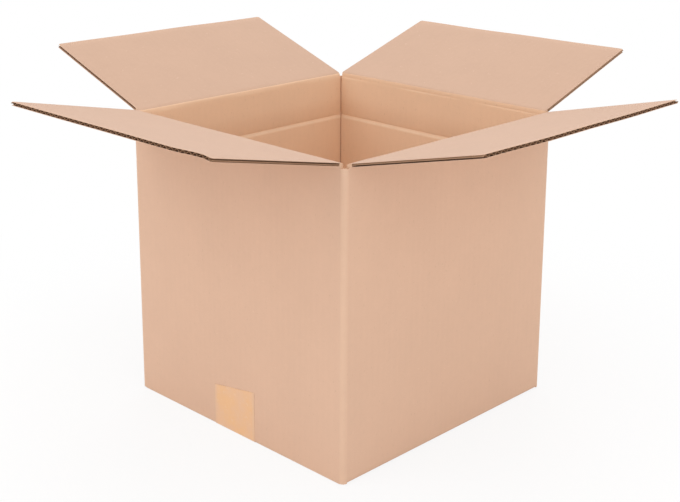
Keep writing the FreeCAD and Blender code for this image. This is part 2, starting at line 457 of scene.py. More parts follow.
def new_group(name: str, inputs: dict[str, str], outputs: dict[str, str]) -> tuple[NodeSketch, dict, Node]:
    """Starts a shader node group with named sockets.

    Args:
        name: The group's name.
        inputs: Socket types by input name.
        outputs: Socket types by output name.

    Returns:
        The sketch on the group's tree, its input sockets by name, and its output node.
    """
    tree = bpy.data.node_groups.new(name, "ShaderNodeTree")
    for way, sockets in (("INPUT", inputs), ("OUTPUT", outputs)):
        for label, kind in sockets.items():
            tree.interface.new_socket(label, in_out=way, socket_type=f"NodeSocket{kind}")
    sketch = NodeSketch(tree)
    entry = sketch.add("NodeGroupInput")
    result = sketch.add("NodeGroupOutput")
    return sketch, {label: entry.outputs[label] for label in inputs}, result


@dataclass(frozen=True)
class Paper:
    """The kraft paper effect: clouds, long fibres and sparse flecks."""

    clouds: Grain = Grain(22, 3, 0.55, (1.0, 1.0, 0.6))
    mottle: Grain = Grain(160, 3, 0.6)
    fibres: Grain = Grain(1500, 3, 0.65, (1.0, 1.0, 0.12))
    cross_fibres: Grain = Grain(1300, 2, 0.6, (0.14, 0.14, 1.0))
    flecks: Grain = Grain(900, 1, 0.4, (1.0, 1.0, 0.35))
    specks: Grain = Grain(760, 1, 0.4, (0.4, 0.4, 1.0))
    fibre_share: float = 0.6
    cross_share: float = 0.4
    cloud_tone: float = 0.45
    mottle_tone: float = 0.25
    fine_tone: float = 0.30
    mottle_height: float = 0.5
    fleck_span: Pair = (0.70, 0.78)
    fleck_share: float = 0.16
    fleck_color: Triple = (0.30, 0.17, 0.09)
    speck_span: Pair = (0.71, 0.79)
    speck_share: float = 0.14
    speck_color: Triple = (0.90, 0.72, 0.56)

    def build(self) -> NodeTree:
        """Makes the effect.

        Returns:
            A group that takes a vector, a colour and a strength, and gives a colour and a height.
        """
        draw, given, result = new_group(
            "kraft_paper",
            {"Vector": "Vector", "Color": "Color", "Strength": "Float"},
            {"Color": "Color", "Height": "Float"})
        point = given["Vector"]
        clouds, mottle, fibres, cross_fibres = (
            draw.noise(point, grain) for grain in (self.clouds, self.mottle, self.fibres, self.cross_fibres))
        fine = draw.math("ADD", draw.times(fibres, self.fibre_share),
                         draw.times(cross_fibres, self.cross_share))
        tone = draw.math("ADD", draw.times(clouds, self.cloud_tone), draw.times(mottle, self.mottle_tone))
        tone = draw.math("ADD", tone, draw.times(fine, self.fine_tone))
        shift = draw.times(draw.math("SUBTRACT", tone, 0.5), given["Strength"])
        lit = draw.wire("ShaderNodeVectorMath", {0: given["Color"], "Scale": draw.math("ADD", shift, 1.0)},
                        operation="SCALE")
        flecks = draw.span(draw.noise(point, self.flecks), *self.fleck_span)
        dark = draw.mix(draw.times(flecks, self.fleck_share), lit, (*self.fleck_color, 1.0))
        specks = draw.span(draw.noise(point, self.specks), *self.speck_span)
        pale = draw.mix(draw.times(specks, self.speck_share), dark, (*self.speck_color, 1.0))
        height = draw.math("ADD", draw.times(mottle, self.mottle_height), fine)
        draw.feed_all(result, {"Color": pale, "Height": height})
        return draw.tree


@dataclass(frozen=True)
class Washboard:
    """The faint ridges where the flutes show through a liner."""

    patches: Grain = Grain(14, 2, 0.5)
    patch_span: Pair = (0.30, 0.70)

    def build(self) -> NodeTree:
        """Makes the effect.

        Returns:
            A group that takes the flat sheet's place, the pitch and how much is broken off in patches,
            and gives a ridge height from 0 to 1.
        """
        draw, given, result = new_group(
            "washboard",
            {"Place": "Vector", "Pitch": "Float", "Break": "Float"},
            {"Ridge": "Float"})
        across = draw.wire("ShaderNodeSeparateXYZ", {0: given["Place"]})
        phase = draw.math("DIVIDE", across, given["Pitch"])
        wave = draw.math("SINE", draw.times(phase, 2 * math.pi))
        ridge = draw.span(wave, -1.0, 1.0)
        patches = draw.span(draw.noise(given["Place"], self.patches), *self.patch_span)
        kept = draw.math("SUBTRACT", 1.0, draw.times(patches, given["Break"]))
        draw.feed(result, "Ridge", draw.times(ridge, kept))
        return draw.tree


@dataclass(frozen=True)
class KraftFinish:
    """Kraft liner paper over flutes."""

    name: str
    color: Triple
    strength: float = 0.16
    ridge_tone: float = 0.012
    ridge_height: float = 0.3
    ridge_break: float = 0.7
    ridge_color: Triple = (0.25, 0.13, 0.07)
    paper_height: float = 0.35
    bump: float = 0.35
    bump_depth: float = 0.10 * MM
    height_span: Pair = (0.3, 1.2)
    rough_low: float = 0.88
    rough_high: float = 0.77
    specular: float = 0.28
    sheen: float = 0.08
    sheen_rough: float = 0.45
    # Paler colour painted where the pale layer is marked: scuffs, and a painted highlight on the folds, the
    # rear beads and the score's lower lip.
    rubbed: Triple = (0.755, 0.515, 0.365)
    rubbed_share: float = 0.60
    wear: Grain = Grain(110, 3, 0.6)
    wear_span: Pair = (0.2, 0.8)

    def build(self, groups: dict[str, NodeTree], pitch: float) -> Material:
        """Makes the material.

        Args:
            groups: The shared node groups by name.
            pitch: The flutes' pitch in metres.

        Returns:
            The material.
        """
        material, draw, shader = start_material(self.name)
        place = draw.place()
        paper = draw.add("ShaderNodeGroup", node_tree=groups["paper"], Vector=place,
                         Color=(*self.color, 1.0), Strength=self.strength)
        ridges = draw.add("ShaderNodeGroup", node_tree=groups["washboard"], Place=draw.flat(), Pitch=pitch,
                          Break=self.ridge_break)
        tone = draw.times(ridges.outputs[0], self.ridge_tone)
        color = draw.mix(tone, paper.outputs["Color"], (*self.ridge_color, 1.0))
        # Mixes in the paler colour in patches where the pale layer is marked: scuffs, and a painted
        # highlight on the folds, beads and the score's lower lip.
        handled = draw.wire("ShaderNodeAttribute", {}, "Fac", attribute_name=WEAR_AND_HIGHLIGHT_LAYER)
        wear_and_highlight_mask = draw.times(handled, draw.span(draw.noise(place, self.wear), *self.wear_span, 0.5, 1.0))
        color = draw.mix(draw.times(wear_and_highlight_mask, self.rubbed_share), color, (*self.rubbed, 1.0))
        rough = draw.span(paper.outputs["Height"], *self.height_span, self.rough_low, self.rough_high)
        draw.feed_all(shader, {"Base Color": color, "Roughness": rough, "Specular IOR Level": self.specular,
                               "Sheen Weight": self.sheen, "Sheen Roughness": self.sheen_rough})
        height = draw.math("ADD", draw.times(paper.outputs["Height"], self.paper_height),
                           draw.times(ridges.outputs[0], self.ridge_height))
        draw.bump(shader, self.bump, self.bump_depth, height)
        return material


@dataclass(frozen=True)
class CutFinish:
    """Raw cut edges and the fluted medium, rougher than the liners."""

    name: str
    color: Triple
    strength: float = 0.5
    roughness: float = 0.92
    specular: float = 0.2
    bump: float = 0.6
    bump_depth: float = 0.2 * MM

    def build(self, groups: dict[str, NodeTree]) -> Material:
        """Makes the material from the shared node groups.

        Args:
            groups: The shared node groups by name.

        Returns:
            The material.
        """
        material, draw, shader = start_material(self.name)
        paper = draw.add("ShaderNodeGroup", node_tree=groups["paper"], Vector=draw.place(),
                         Color=(*self.color, 1.0), Strength=self.strength)
        draw.feed_all(shader, {"Base Color": paper.outputs["Color"], "Roughness": self.roughness,
                               "Specular IOR Level": self.specular})
        draw.bump(shader, self.bump, self.bump_depth, paper.outputs["Height"])
        return material


@dataclass(frozen=True)
class TapeFinish:
    """Tan packing tape: a thin satin film, a little creased, with small bubbles."""

    name: str = "packing_tape"
    color: Triple = (0.83, 0.485, 0.24)
    stain_color: Triple = (0.80, 0.49, 0.30)
    bubble_color: Triple = (0.86, 0.62, 0.42)
    edge: Triple = (0.74, 0.475, 0.315)
    half_width: float = 25 * MM
    edge_width: float = 4 * MM
    edge_share: float = 0.65
    stain: Grain = Grain(46, 4, 0.6)
    stain_span: Pair = (0.35, 0.68)
    bubbles: Grain = Grain(330, 2, 0.5)
    bubble_span: Pair = (0.62, 0.72)
    bubble_share: float = 0.3
    bubble_height: float = 0.35
    creases: Grain = Grain(120, 3, 0.6, (0.25, 1.0, 1.0))
    rough_film: float = 0.36
    rough_bubble: float = 0.52
    coat: float = 0.25
    coat_rough: float = 0.28
    bump: float = 0.35
    bump_depth: float = 0.25 * MM

    def build(self) -> Material:
        """Makes the material.

        Returns:
            The material.
        """
        material, draw, shader = start_material(self.name)
        place = draw.place()
        stain = draw.span(draw.noise(place, self.stain), *self.stain_span)
        color = draw.mix(stain, (*self.color, 1.0), (*self.stain_color, 1.0))
        bubbles = draw.span(draw.noise(place, self.bubbles), *self.bubble_span)
        color = draw.mix(draw.times(bubbles, self.bubble_share), color, (*self.bubble_color, 1.0))
        off_centre = draw.math("ABSOLUTE", draw.wire("ShaderNodeSeparateXYZ", {0: draw.flat()}))
        thin_edge = draw.span(off_centre, self.half_width - self.edge_width, self.half_width,
                              0.0, self.edge_share)
        color = draw.mix(thin_edge, color, (*self.edge, 1.0))
        rough = draw.span(bubbles, 0.0, 1.0, self.rough_film, self.rough_bubble)
        draw.feed_all(shader, {"Base Color": color, "Roughness": rough, "Coat Weight": self.coat,
                               "Coat Roughness": self.coat_rough})
        creases = draw.noise(place, self.creases)
        height = draw.math("ADD", creases, draw.times(bubbles, self.bubble_height))
        draw.bump(shader, self.bump, self.bump_depth, height)
        return material


class FinishBook:
    """All of the carton's materials."""

    def __init__(self, board: Board) -> None:
        """Builds each material once.

        Args:
            board: The board, for its flutes' pitch.
        """
        groups = {"paper": Paper().build(), "washboard": Washboard().build()}
        # One inner paper in two colours: the inside liner is painted paler than the outer liner, as painted
        # light on the walls' inner faces, and the flaps' inner liner is painted darker, as painted shade.
        # The crease colour is painted shade, darker than the inside liner, on the inner corner folds, the
        # cut faces at the corners and the crease strips' ends.
        self.outer, self.inside, self.inner, self.crease = (finish.build(groups, board.pitch) for finish in (
            KraftFinish("outer_liner", (0.715, 0.472, 0.338)),
            KraftFinish("inside_liner", (0.815, 0.565, 0.385), rubbed=(1.0, 0.84, 0.66)),
            KraftFinish("flap_inner_liner", (0.568, 0.371, 0.266)),
            KraftFinish("crushed_crease", (0.66, 0.43, 0.29), strength=0.24, ridge_tone=0.04)))
        self.cut = CutFinish("cut_board_edge", (0.70, 0.46, 0.32)).build(groups)
        self.medium = CutFinish("fluted_medium", (0.37, 0.22, 0.135)).build(groups)
        self.tape = TapeFinish().build()


class WallSlot(IntEnum):
    """Material slots of the folded walls."""

    OUTER = 0
    CUT = 1
    INSIDE = 2
    CREASE = 3


class StripSlot(IntEnum):
    """Material slots of a crease strip."""

    OUTER = 0
    CREASE = 1
    INNER = 2
    INSIDE = 3


@dataclass
class CartonBody:
    """The four walls with the bottom flaps, folded from one sheet.

    The highlight values paint the upright folds, the rear beads and the score's lower lip paler, as a
    painted highlight; the foot value paints the bottom folds paler, as scuffs.
    The heel's places run round a bottom fold of an end wall, in board thicknesses out of the wall and up
    from the foot.
    """

    plan: CartonPlan
    rows: tuple[float, ...] = (20 * MM, 50 * MM, 85 * MM, 120 * MM, 155 * MM, 185 * MM)
    arc_steps: int = 5
    fold_steps: int = 4
    span_cuts: int = 8
    corner_gap: float = 1.0 * MM
    corner_press: float = 0.8 * MM
    bead: float = 3.0 * MM
    bead_rise: float = 0.6 * MM
    lip_fade: float = 2.0 * MM
    trace: float = 0.12
    level_from: float = 0.7
    # Paleness painted as a highlight on the upright folds, the rear beads and the score's lower lip, and as
    # scuffs on the bottom folds.
    worn_fold: float = 0.9
    worn_bead: float = 1.0
    worn_lip: float = 0.55
    worn_foot: float = 0.4
    heel: tuple[tuple[float, float], ...] = ((0.0, 0.62), (-0.10, 0.10), (-0.75, 0.02), (-1.30, 0.75))
    flap_shares: tuple[float, ...] = (0.08, 0.35, 0.7, 1.0)

    def cuts(self, half_width: float) -> list[float]:
        """Gives where a wall's panel is divided, with the bead's two lines after the even ones."""
        even = [-half_width + step * 2 * half_width / self.span_cuts for step in range(self.span_cuts + 1)]
        return even + [-half_width + self.bead, half_width - self.bead]

    def ring(self, bm: BMesh) -> list[BMFace]:
        """Draws the board's plan as a ring of faces at the lowest full height.

        Args:
            bm: The mesh to draw in.

        Returns:
            The ring's faces.
        """
        plan = self.plan
        made = bmesh.ops.create_circle(bm, segments=4, radius=1.0, cap_ends=False)
        for vert in made["verts"]:
            turned = Matrix.Rotation(math.pi / 4, 3, "Z") @ vert.co
            vert.co = Vector((math.copysign(plan.half_x, turned.x), math.copysign(plan.half_y, turned.y), 0))
        for is_joint, radius in ((False, plan.corner_radius), (True, plan.joint_radius)):
            corners = [vert for vert in bm.verts
                       if plan.outside(vert.co, HAIR, HAIR) and self.at_joint(vert.co) == is_joint]
            bmesh.ops.bevel(bm, geom=corners, offset=radius, affect="VERTICES", segments=self.arc_steps,
                            profile=0.5, material=-1)
        for axis, width in ((Vector((1, 0, 0)), plan.panel_half_x), (Vector((0, 1, 0)), plan.panel_half_y)):
            for cut in self.cuts(width):
                bmesh.ops.bisect_plane(bm, geom=bm.verts[:] + bm.edges[:], plane_co=axis * cut,
                                       plane_no=axis)
        made = bmesh.ops.extrude_edge_only(bm, edges=bm.edges[:])
        for vert in moved_verts(made):
            vert.co -= self.outward(vert.co) * plan.board.thickness
        base = plan.foot_lift + 2 * (plan.board.thickness + plan.layer_gap)
        bmesh.ops.translate(bm, verts=bm.verts, vec=(0, 0, base))
        return bm.faces[:]

    def at_joint(self, point: Vector) -> bool:
        """True in the quarter of the plan that holds the glued joint."""
        return point.x < 0 and point.y < 0

    def outward(self, point: Vector) -> Vector:
        """Gives the outward direction of the outer skin at a point of the plan.

        Args:
            point: A point on the wall's outer or inner skin.

        Returns:
            A level unit vector.
        """
        plan = self.plan
        radius = plan.joint_radius if self.at_joint(point) else plan.corner_radius
        over_x = abs(point.x) - (plan.half_x - radius)
        over_y = abs(point.y) - (plan.half_y - radius)
        if over_x > HAIR and over_y > HAIR:
            direction = Vector((over_x, over_y, 0)).normalized()
        elif plan.half_x - abs(point.x) < plan.half_y - abs(point.y):
            direction = Vector((1, 0, 0))
        else:
            direction = Vector((0, 1, 0))
        return Vector((math.copysign(direction.x, point.x), math.copysign(direction.y, point.y), 0))

    def raise_walls(self, bm: BMesh, ring: list[BMFace]) -> list[BMFace]:
        """Extrudes the ring up through every row to the creases.

        Args:
            bm: The mesh.
            ring: The ring's faces at the foot.

        Returns:
            The faces of the upper rim.
        """
        plan = self.plan
        middle, lip = plan.score_level, plan.lip_level
        rows = list(self.rows) + [lip - self.lip_fade, lip, middle, middle + plan.score_width / 2,
                                  (middle + plan.height) / 2, plan.height - plan.crease_drop]
        level = ring[0].verts[0].co.z
        top = ring
        for index, row in enumerate(rows):
            top, verts = extrude_on(bm, top, keep=index == 0)
            bmesh.ops.translate(bm, verts=verts, vec=(0, 0, row - level))
            level = row
        return top

    def score(self, bm: BMesh) -> None:
        """Presses the horizontal score into the inner skin, with a trace of it outside.

        Args:
            bm: The mesh, changed in place.
        """
        plan = self.plan
        for vert in bm.verts:
            if abs(vert.co.z - plan.score_level) > HAIR:
                continue
            inside = plan.within(vert.co, plan.board.thickness / 2)
            depth = plan.score_depth if inside else -self.trace * plan.score_depth
            vert.co += self.outward(vert.co) * depth

    def panel_faces(self, faces: list[BMFace], side: Side) -> list[BMFace]:
        """Picks the rim faces of one wall between its slots.

        Args:
            faces: The rim's faces.
            side: The wall.

        Returns:
            The wall's own faces.
        """
        plan = self.plan
        back = side.turn.inverted()
        width = plan.panel_half_x if side.is_end else plan.panel_half_y
        picked = []
        for face in faces:
            spot = back @ face.calc_center_median()
            if spot.y < plan.board.thickness - plan.half(side.is_end) and abs(spot.x) < width:
                picked.append(face)
        return picked

    def fold_in(self, bm: BMesh, faces: list[BMFace], side: Side,
                stations: list[tuple[Vector, Vector]]) -> None:
        """Extrudes a wall's lower rim through pairs of places, for its outer and its inner skin.

        Args:
            bm: The mesh.
            faces: The wall's rim faces.
            side: The wall.
            stations: Pairs of (distance from the middle, height) vectors.
        """
        back = side.turn.inverted()
        corners = {vert for face in faces for vert in face.verts}
        reaches = [-(back @ vert.co).y for vert in corners]
        outer_now = Vector((max(reaches), next(iter(corners)).co.z))
        inner_now = Vector((min(reaches), outer_now.y))
        for outer, inner in stations:
            faces, verts = extrude_on(bm, faces)
            for vert in verts:
                spot = back @ vert.co
                here = Vector((-spot.y, spot.z))
                target = outer if (here - outer_now).length < (here - inner_now).length else inner
                spot.y, spot.z = -target.x, target.y
                vert.co = side.turn @ spot
            outer_now, inner_now = outer, inner

    def fold_stations(self, side: Side) -> list[tuple[Vector, Vector]]:
        """Works out the section of a bottom fold and its flap.

        Args:
            side: The wall.

        Returns:
            Pairs of places for the outer and inner skin, from the wall to the flap's free edge.
        """
        plan = self.plan
        half = plan.half(side.is_end)
        board, gap = plan.board.thickness, plan.layer_gap
        floor = plan.foot_lift + (board + gap if side.is_end else 0.0)
        hub = Vector((half - board - gap, floor + board + gap))
        stations = []
        if not side.is_end:
            stations.append((Vector((half, hub.y)), Vector((half - board, hub.y))))
        for step in range(1, self.fold_steps + 1):
            turn = step / self.fold_steps * QUARTER
            ray = Vector((math.cos(turn), -math.sin(turn)))
            stations.append((hub + ray * (board + gap), hub + ray * gap))
        if side.is_end:
            for index, (across, up) in enumerate(self.heel):
                place = Vector((half + across * board, plan.foot_lift + up * board))
                stations[index] = (place, stations[index][1])
        for share in self.flap_shares:
            reach = hub.x + (plan.meeting_gap / 2 - hub.x) * share
            stations.append((Vector((reach, floor)), Vector((reach, floor + board))))
        return stations

    def rubbed(self, vert: BMVert) -> float:
        """Gives how pale a vertex is painted: a painted highlight on the upright folds, the rear beads and
        the score's lower lip, and scuffs on the bottom folds.

        Args:
            vert: The vertex, before the walls settle.

        Returns:
            A share from 0 to 1.
        """
        plan = self.plan
        spot = vert.co
        if plan.outside(spot, plan.corner_radius, plan.corner_radius):
            return self.worn_fold
        at_slot = abs(abs(spot.x) - plan.panel_half_x) < HAIR
        if at_slot and plan.half_y - 1.2 * plan.board.thickness < spot.y < plan.half_y - HAIR:
            return self.worn_bead
        inside = plan.within(spot, HAIR)
        if abs(spot.z - plan.lip_level) < HAIR and inside:
            return self.worn_lip
        at_fold = plan.foot_lift < spot.z < 2 * plan.board.thickness and not inside
        return self.worn_foot if at_fold else 0.0

    def press_corners(self, bm: BMesh) -> None:
        """Presses an upright crease into each inner corner and raises the bead beside it.

        Args:
            bm: The mesh, changed in place.
        """
        plan = self.plan
        inner_y = plan.half_y - plan.board.thickness
        for vert in bm.verts:
            beside = abs(abs(vert.co.x) - plan.panel_half_x) < HAIR and abs(abs(vert.co.y) - inner_y) < HAIR
            if beside and not self.at_joint(vert.co) and vert.co.z > self.rows[0] / 2:
                vert.co.y -= math.copysign(self.bead_rise, vert.co.y)
            arm = Vector((abs(vert.co.x) - (plan.half_x - plan.corner_radius),
                          abs(vert.co.y) - (plan.half_y - plan.corner_radius), 0))
            if arm.x > HAIR and arm.y > HAIR and arm.length < plan.board.thickness / 2:
                fold = math.sin(2 * math.atan2(arm.y, arm.x)) ** 2
                vert.co += self.outward(vert.co) * (self.corner_press * fold)

    def is_cut(self, face: BMFace) -> bool:
        """True for a face that a knife made: at a slot or at a flap's free edge.

        Args:
            face: A face of the folded sheet.

        Returns:
            True or False.
        """
        plan = self.plan
        spot = face.calc_center_median()
        normal = face.normal
        if spot.z > plan.height / 2:
            return normal.z > FACING
        slot_x = abs(abs(spot.x) - plan.panel_half_x) < plan.knife_zone and abs(normal.x) > FACING
        slot_y = abs(abs(spot.y) - plan.panel_half_y) < plan.knife_zone and abs(normal.y) > FACING
        free = min(abs(spot.x), abs(spot.y)) < plan.meeting_gap
        if free and spot.z < plan.foot_zone:
            return abs(normal.z) < 1 - FACING
        root = plan.outside(spot, plan.slot_width / 2, plan.slot_width / 2)
        return slot_x or slot_y or (root and normal.z < -FACING)

    def finish_of(self, face: BMFace) -> int:
        """Gives a face's material slot.

        Args:
            face: A face of the folded sheet.

        Returns:
            The slot.
        """
        plan = self.plan
        spot = face.calc_center_median()
        if self.is_cut(face):
            at_corner = plan.outside(spot, plan.slot_width / 2, plan.slot_width / 2)
            # Cut faces at the corners take the crease colour, which is painted shade.
            return WallSlot.CREASE if at_corner else WallSlot.CUT
        inside = plan.within(spot, plan.board.thickness / 2)
        if spot.z > plan.foot_zone:
            folded = plan.outside(spot, plan.corner_radius, plan.corner_radius)
            # Inner corner folds take the crease colour, which is painted shade; the other inner faces take
            # the inside finish, which is painted light.
            return (WallSlot.CREASE if folded else WallSlot.INSIDE) if inside else WallSlot.OUTER
        upright = abs(face.normal.z) < 1 - FACING
        lies_inside = face.normal.z > 1 - FACING or (inside and upright)
        return WallSlot.INSIDE if lies_inside else WallSlot.OUTER

    def build(self, book: FinishBook) -> Object:
        """Builds and dresses the folded sheet.

        Args:
            book: The materials.

        Returns:
            The piece.
        """
        plan = self.plan
        bm = bmesh.new()
        foot = self.ring(bm)
        top = self.raise_walls(bm, foot)
        self.score(bm)
        self.press_corners(bm)
        picked = {side: self.panel_faces(foot, side) for side in Side}
        taken = {face for faces in picked.values() for face in faces}
        corners = [face for face in foot if face not in taken]
        top_taken = {face for side in Side for face in self.panel_faces(top, side)}
        top_corners = [face for face in top if face not in top_taken]
        level = foot[0].verts[0].co.z
        rim = plan.height - plan.crease_drop
        for faces, target, start in ((corners, self.corner_gap, level),
                                     (top_corners, plan.height - self.corner_gap, rim)):
            _ends, verts = extrude_on(bm, faces)
            bmesh.ops.translate(bm, verts=verts, vec=(0, 0, target - start))
        for side in Side:
            self.fold_in(bm, picked[side], side, self.fold_stations(side))
        bmesh.ops.remove_doubles(bm, verts=bm.verts, dist=HAIR)
        bmesh.ops.recalc_face_normals(bm, faces=bm.faces)
        # Marks the painted highlight on folds, beads and the score's lower lip, and scuffs on the bottom
        # folds.
        mark_handling(bm, self.rubbed)
        for vert in bm.verts:
            vert.co = plan.settle(vert.co)
        for face in bm.faces:
            face.material_index = self.finish_of(face)

        def across(face: BMFace, point: Vector) -> Pair:
            """Gives a point's place along its wall and its height."""
            if abs(face.normal.z) > self.level_from:
                on_end = abs(point.y) - plan.half_y > abs(point.x) - plan.half_x
            else:
                on_end = abs(face.normal.y) > abs(face.normal.x)
            return (point.x, point.z) if on_end else (point.y, point.z)

        lay_board_uv(bm, across)
        return make_piece(bm, "folded_walls", (book.outer, book.cut, book.inside, book.crease))


@dataclass
class TopFlap:
    """One top flap: two liners over real flutes, and the crushed crease at its root.

    The buckle's spans are shares of the flap's width and reach. The crest is the part of the crease strip
    that is worn uneven: its wall and flap spans are angles about the hinge in half turns.
    """

    plan: CartonPlan
    side: Side
    pivot: Vector
    lift: float
    curl: float = 0.9 * MM
    hump: float = 0.0
    columns: int = 76
    rows: int = 14
    wave_steps: int = 5
    crease_steps: int = 12
    roundness: float = 4.0
    crush: float = 0.10
    wobble: float = 0.16 * MM
    seed: float = 0.0
    spare: float = 0.4 * MM
    waves: tuple[Ripple, ...] = (Ripple(0.55, 5.1, 1.0), Ripple(0.35, 13.7, 2.3))
    crest_waves: tuple[Ripple, ...] = (Ripple(1.0, 61, 1.0), Ripple(0.6, 143, 2.0))
    crest_from: float = 0.6
    buckle_rise: Pair = (0.32, 0.44)
    buckle_fall: Pair = (0.50, 0.46)
    buckle_reach: Pair = (0.65, 1.0)
    fold_height: float = 0.55
    wall_share: float = 0.75
    fold_shares: Pair = (0.12, 0.45)
    crest_wall: Pair = (0.56, 0.40)
    crest_flap: Pair = (-0.20, 0.0)
    crest_ends: Pair = (0.5, 0.46)
    corner_round: float = 2 * MM
    handled_width: float = 3 * MM
    handled: float = 0.45
    flute_rows: int = 6
    strip_cuts: int = 24
    wall_from: float = 0.70
    soft_reach: float = 0.8
    raised: float = field(init=False)
    width: float = field(init=False)
    reach: float = field(init=False)

    def __post_init__(self) -> None:
        """Works out the flap's own sizes from the plan."""
        plan = self.plan
        half = plan.half(self.side.is_end)
        inset = self.inset
        self.raised = inset + plan.layer_gap if inset > HAIR else 0.0
        self.width = 2 * (plan.panel_half_x if self.side.is_end else plan.panel_half_y)
        self.reach = half - inset - plan.meeting_gap / 2 - self.spare

    @property
    def inset(self) -> float:
        """How far the hinge's axis lies in from the wall's outer face."""
        return self.plan.half(self.side.is_end) + (self.side.turn.inverted() @ self.pivot).y

    @property
    def place(self) -> Matrix:
        """From the flap's own frame, level and pointing to -Y from its crease, to the carton's."""
        return Matrix.Translation(self.pivot) @ self.side.turn @ Matrix.Rotation(-self.lift, 4, "X")

    def warp(self, across: float, out: float) -> float:
        """Gives how far the board stands off its flat plane.

        The flaps that fold in first bend only towards their inner face, and the other two only towards
        their outer one, so that the closed layers stay clear of each other.

        Args:
            across: The place along the crease.
            out: The distance from the crease.

        Returns:
            The offset along the flap's normal.
        """
        share = smooth(0.0, 1.0, out / self.reach)
        turn = across / self.width
        bend = self.curl * (0.5 + 0.5 * ripple(self.waves, turn, self.seed))
        buckle = smooth(*self.buckle_rise, turn) * smooth(*self.buckle_fall, turn)
        buckle *= smooth(*self.buckle_reach, out / self.reach)
        rise = share * bend + self.hump * buckle
        return rise if self.side.is_end else -rise

    def sheet(self, low: float, columns: int, rows: int, wave: Callable[[float], float]) -> BMesh:
        """Makes one layer of the board in the flap's own frame.

        Args:
            low: The height of its lower face.
            columns: Cells along the crease.
            rows: Cells from the crease to the free edge.
            wave: The layer's own rise over the place along the crease.

        Returns:
            The layer.
        """
        bm = bmesh.new()
        bmesh.ops.create_grid(bm, x_segments=columns, y_segments=rows, size=0.5)
        start = self.plan.crease_reach
        for vert in bm.verts:
            across = vert.co.x * self.width
            out = start + (0.5 - vert.co.y) * (self.reach - start)
            vert.co = Vector((across, -out, low + wave(across) + self.warp(across, out)))
        return bm

    def round_corners(self, bm: BMesh) -> None:
        """Rounds the free corners of a layer that is still one sheet."""
        corners = [vert for vert in bm.verts if len(vert.link_edges) == 2 and vert.co.y < -self.reach / 2]
        bmesh.ops.bevel(bm, geom=corners, offset=self.corner_round, affect="VERTICES", segments=4,
                        profile=0.5, material=-1)

    def finish_layer(self, bm: BMesh, name: str, material: Material,
                     edge: Material) -> Object:
        """Places a layer in the carton's frame and makes it a piece of the flap's body.

        Args:
            bm: The layer.
            name: The piece's name.
            material: The finish of its faces.
            edge: The finish of its cut edges.

        Returns:
            The piece.
        """
        lay_board_uv(bm, lambda _face, point: (point.x, point.y))
        for face in bm.faces:
            face.material_index = 0 if abs(face.normal.z) > 0.3 else 1
        bmesh.ops.transform(bm, matrix=self.place, verts=bm.verts)
        piece = make_piece(bm, name, (material, edge))
        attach(piece, f"{self.side.label}_flap")
        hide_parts(f"top_flap_{self.side.label}")
        return piece

    def build_layers(self, book: FinishBook) -> list[Object]:
        """Builds the two liners and the fluted medium.

        Args:
            book: The materials.

        Returns:
            The three pieces.
        """
        board = self.plan.board
        label = self.side.label
        pieces = []
        # The inner liner takes the flaps' inner finish, painted darker as painted shade.
        layers = (("outer_liner", self.raised, book.outer),
                  ("inner_liner", self.raised + board.thickness - board.liner, book.inner))
        for name, low, material in layers:
            bm = self.sheet(low, self.columns, self.rows, lambda _across: 0.0)
            self.round_corners(bm)
            thicken(bm, Vector((0, 0, board.liner)))
            free = -self.reach + self.handled_width
            mark_handling(bm, lambda vert: self.handled if vert.co.y < free else 0.0)
            pieces.append(self.finish_layer(bm, f"{label}_flap_{name}", material, book.cut))
        gauge = (board.thickness - 2 * board.liner - board.medium) / 2
        middle = self.raised + board.liner + gauge
        bm = self.sheet(middle, self.columns * self.wave_steps, self.flute_rows,
                        lambda across: gauge * math.sin(2 * math.pi * across / board.pitch))
        thicken(bm, Vector((0, 0, board.medium)))
        pieces.append(self.finish_layer(bm, f"{label}_flap_flutes", book.medium, book.medium))
        return pieces

    def crease_section(self) -> list[Vector]:
        """Draws the crushed crease's section at rest, as (outward, up) places from the pivot.

        Returns:
            The closed outline, from the wall's outer face round to its inner face.
        """
        plan = self.plan
        board, reach = plan.board.thickness, plan.crease_reach
        inset = self.inset
        foot = plan.height - plan.crease_drop - self.pivot.z
        along = Vector((math.cos(self.lift), math.sin(self.lift)))
        above = Vector((-along.y, along.x))
        wall_outer, wall_inner = Vector((inset, foot)), Vector((inset - board, foot))
        flap_outer = along * reach + above * self.raised
        flap_inner = flap_outer + above * board
        fold = Vector((inset, self.raised * self.fold_height))
        outline = [wall_outer, wall_outer.lerp(fold, self.wall_share)]
        outline += [fold.lerp(flap_outer, share) for share in self.fold_shares]
        outline += [flap_outer, flap_inner]
        start = math.atan2(flap_inner.y, flap_inner.x)
        end = math.atan2(wall_inner.y, wall_inner.x) % (2 * math.pi)
        for step in range(1, self.crease_steps):
            share = step / self.crease_steps
            turn = start + (end - start) * share
            flap_skin = (board + self.raised) / max(HAIR, math.sin(turn - self.lift))
            wall_skin = (board - inset) / max(HAIR, -math.cos(turn))
            radius = (flap_skin ** -self.roundness + wall_skin ** -self.roundness) ** (-1 / self.roundness)
            radius *= 1 - self.crush * math.sin(math.pi * share) ** 2
            outline.append(Vector((math.cos(turn), math.sin(turn))) * radius)
        outline.append(wall_inner)
        return outline

